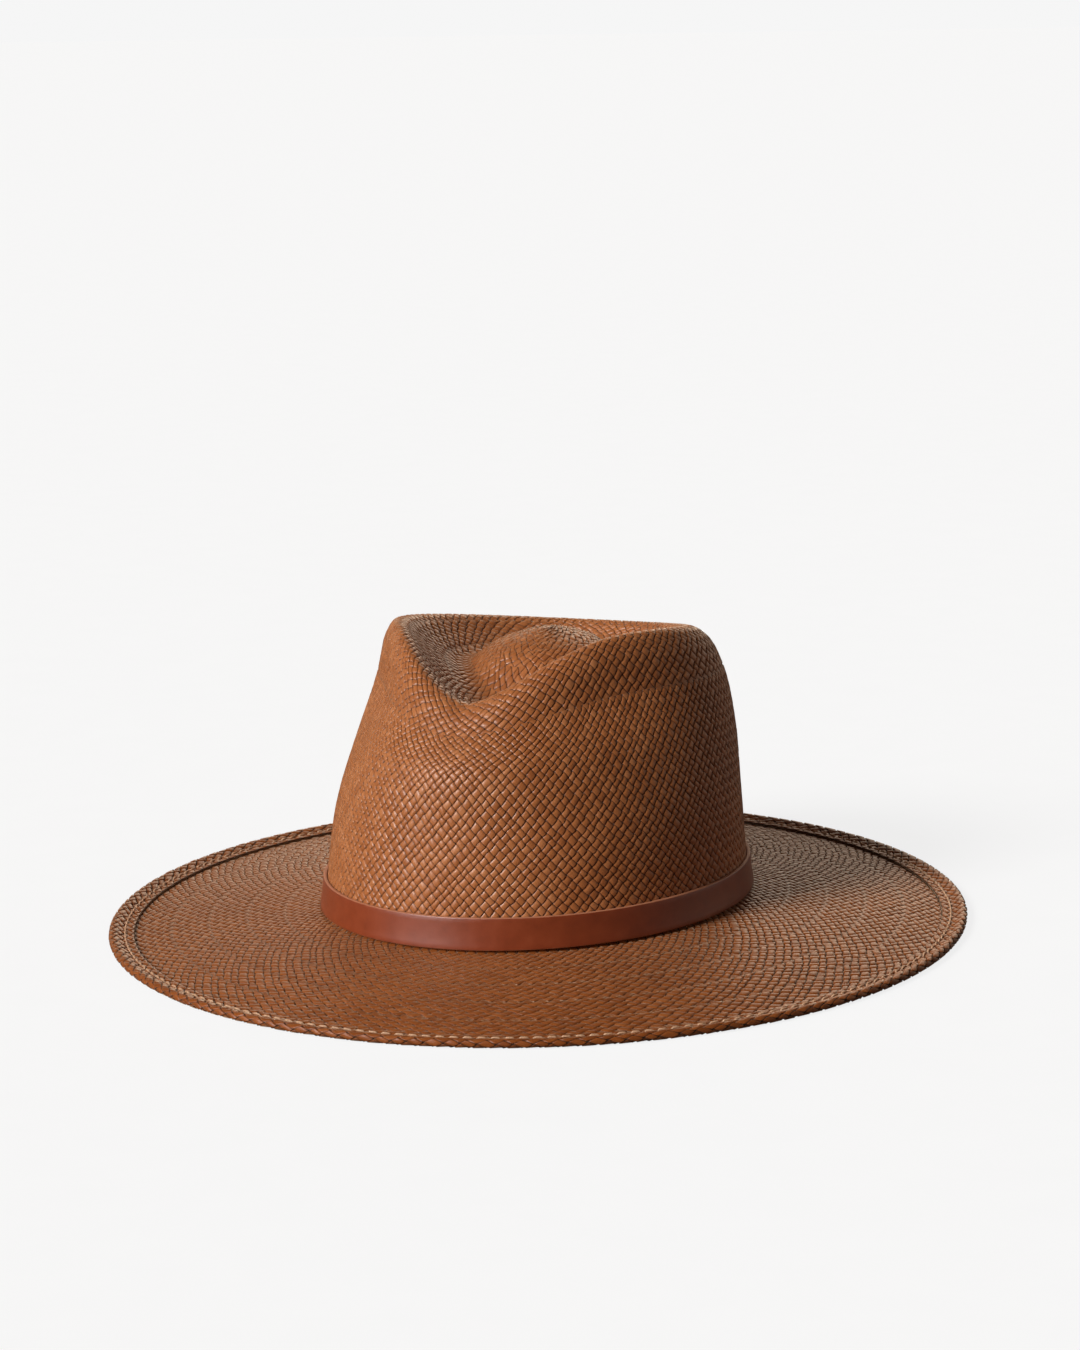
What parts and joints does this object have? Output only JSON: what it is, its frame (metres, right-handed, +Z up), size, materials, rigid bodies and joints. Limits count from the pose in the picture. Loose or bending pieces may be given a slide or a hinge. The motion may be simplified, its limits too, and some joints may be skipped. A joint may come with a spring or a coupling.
{
  "type": "wide-brimmed woven straw hat",
  "caption": "Wide-brimmed straw hat with a teardrop crown, front pinches, a turned and stitched hem and a narrow leather hatband.",
  "frame": {"origin": "middle of the brim's outline, on the surface that the hat stands on", "axes": "+Z up, -Y towards the hat's front, +X towards the wearer's left"},
  "size_m": [0.362, 0.374, 0.1294],
  "materials": {
    "straw": "dyed and lacquered plain-woven straw, satin",
    "wire": "plain drawn wire",
    "thread": "matte sewing thread",
    "hatband_leather": "smooth satin vegetable-tanned leather",
    "sweatband_leather": "soft matte leather",
    "reed": "plain extruded plastic",
    "ribbon": "woven cotton tape",
    "label": "plain woven label, blank"
  },
  "bodies": {
    "root": {"crown": "straw", "brim": "straw", "brim_wire": "wire", "hem_top_thread": "thread", "hem_under_thread": "thread", "hatband": "hatband_leather", "hatband_stitch": "thread", "sweatband": "sweatband_leather", "sweatband_reed": "reed", "reed_tape": "ribbon", "sweatband_thread": "thread", "sweatband_bow": "ribbon", "size_label": "label"}
  },
  "joints": []
}
